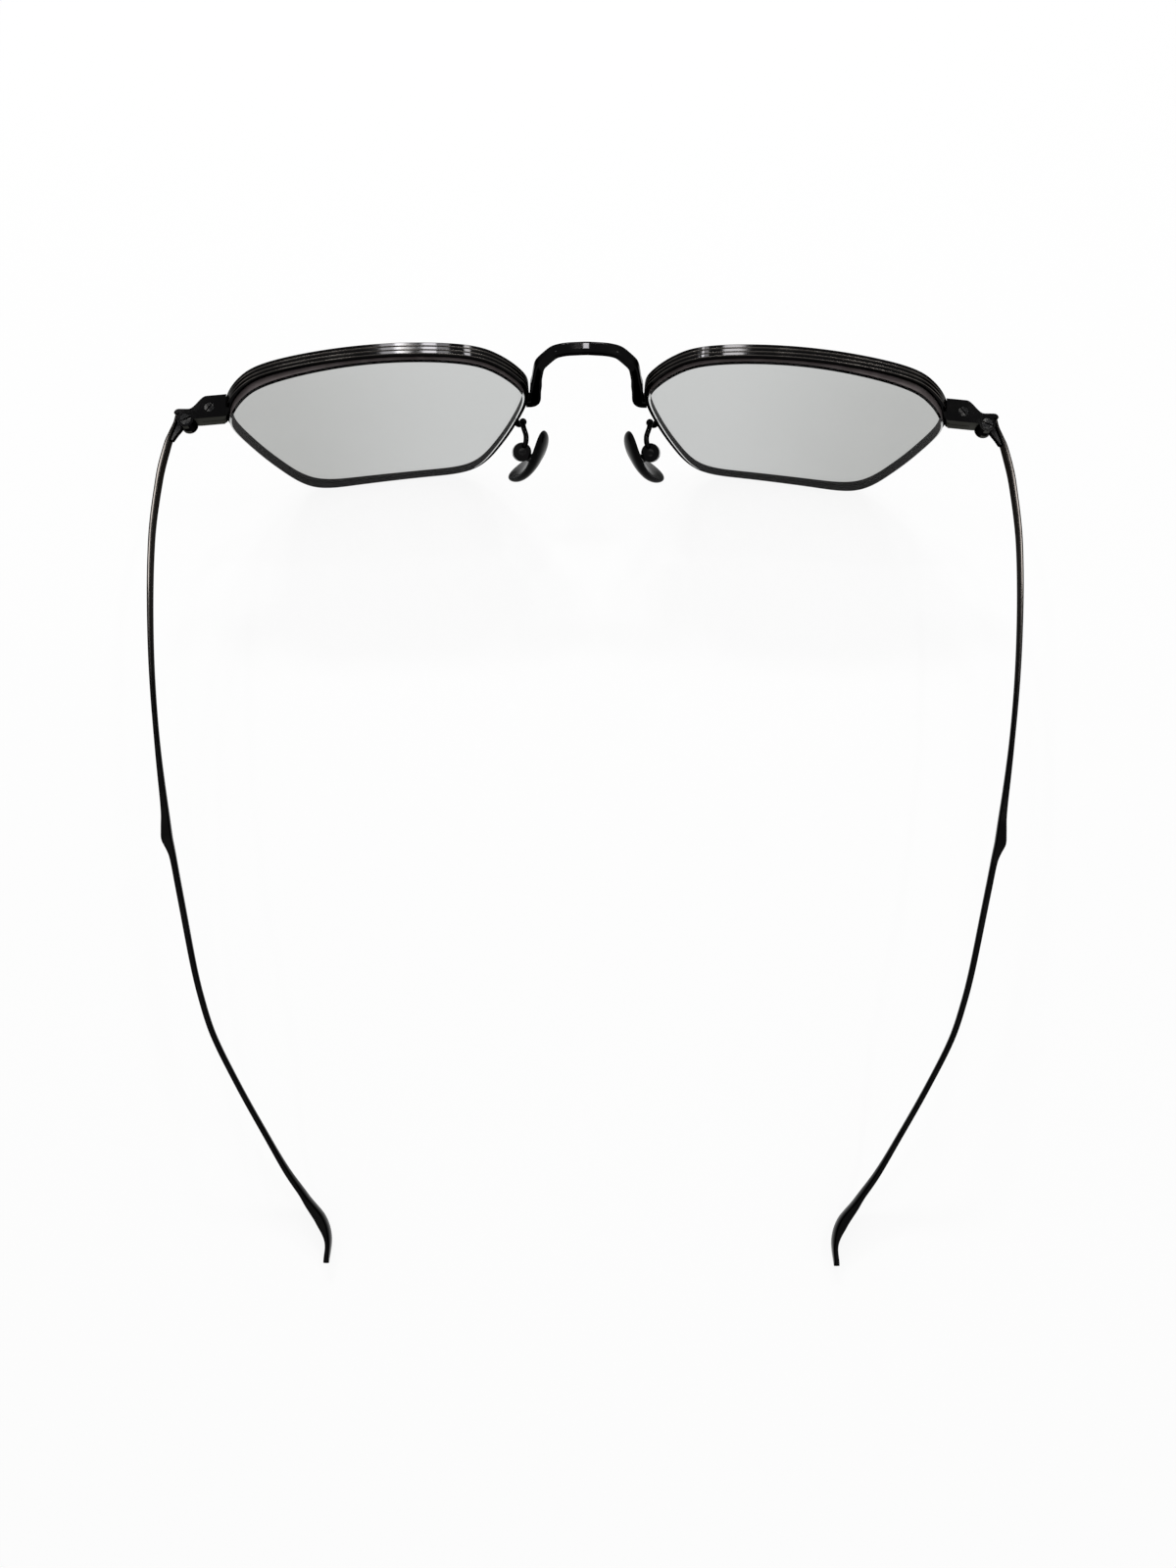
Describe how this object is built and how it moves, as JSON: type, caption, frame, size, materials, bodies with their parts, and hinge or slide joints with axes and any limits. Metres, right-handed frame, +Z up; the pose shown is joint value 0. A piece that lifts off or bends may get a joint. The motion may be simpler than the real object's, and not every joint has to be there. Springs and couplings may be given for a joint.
{
  "type": "hexagonal eyeglasses",
  "caption": "Metal full-rim eyeglasses with hexagonal tinted lenses, a raised bridge, folding bowed temples with flat ear ends and rocking nose pads.",
  "frame": {"origin": "middle of the footprint of the open glasses, on the table they rest on", "axes": "+Z up, front towards -Y, temples run to +Y, +X towards the wearer's left side"},
  "size_m": [0.1452, 0.15, 0.0345],
  "materials": {
    "frame_metal": "glossy black plating",
    "lens_glass": "clear light grey tint",
    "screw_steel": "dark bright steel",
    "pad_plastic": "glossy black"
  },
  "bodies": {
    "front": {"bridge": "frame_metal", "rim_left": "frame_metal", "rim_right": "frame_metal", "lens_left": "lens_glass", "lens_right": "lens_glass", "end_piece_left": "frame_metal", "end_piece_right": "frame_metal", "closing_block_left": "frame_metal", "closing_block_right": "frame_metal", "rim_screw_left": "screw_steel", "rim_screw_right": "screw_steel", "hinge_screw_left": "screw_steel", "hinge_screw_right": "screw_steel", "pad_arm_left": "frame_metal", "pad_arm_right": "frame_metal", "pad_box_left": "frame_metal", "pad_box_right": "frame_metal", "pad_screw_left": "screw_steel", "pad_screw_right": "screw_steel"},
    "temple_left": {"temple_left": "frame_metal", "temple_knuckle_left": "frame_metal"},
    "temple_right": {"temple_right": "frame_metal", "temple_knuckle_right": "frame_metal"},
    "pad_left": {"nose_pad_left": "pad_plastic", "pad_insert_left": "screw_steel"},
    "pad_right": {"nose_pad_right": "pad_plastic", "pad_insert_right": "screw_steel"}
  },
  "joints": [
    {"name": "temple_fold_left", "type": "hinge", "parent": "front", "child": "temple_left", "pos_m": [0.06757, -0.0651, 0.02474], "axis": [0, 0, 1], "range_deg": [0, 80]},
    {"name": "temple_fold_right", "type": "hinge", "parent": "front", "child": "temple_right", "pos_m": [-0.06757, -0.0651, 0.02474], "axis": [0, 0, -1], "range_deg": [0, 76]},
    {"name": "pad_rock_left", "type": "hinge", "parent": "front", "child": "pad_left", "pos_m": [0.01129, -0.06333, 0.01801], "axis": [-0.1303, 0.4128, 0.9015], "range_deg": [-8, 8]},
    {"name": "pad_rock_right", "type": "hinge", "parent": "front", "child": "pad_right", "pos_m": [-0.01129, -0.06333, 0.01801], "axis": [0.1303, 0.4128, 0.9015], "range_deg": [-8, 8]}
  ]
}
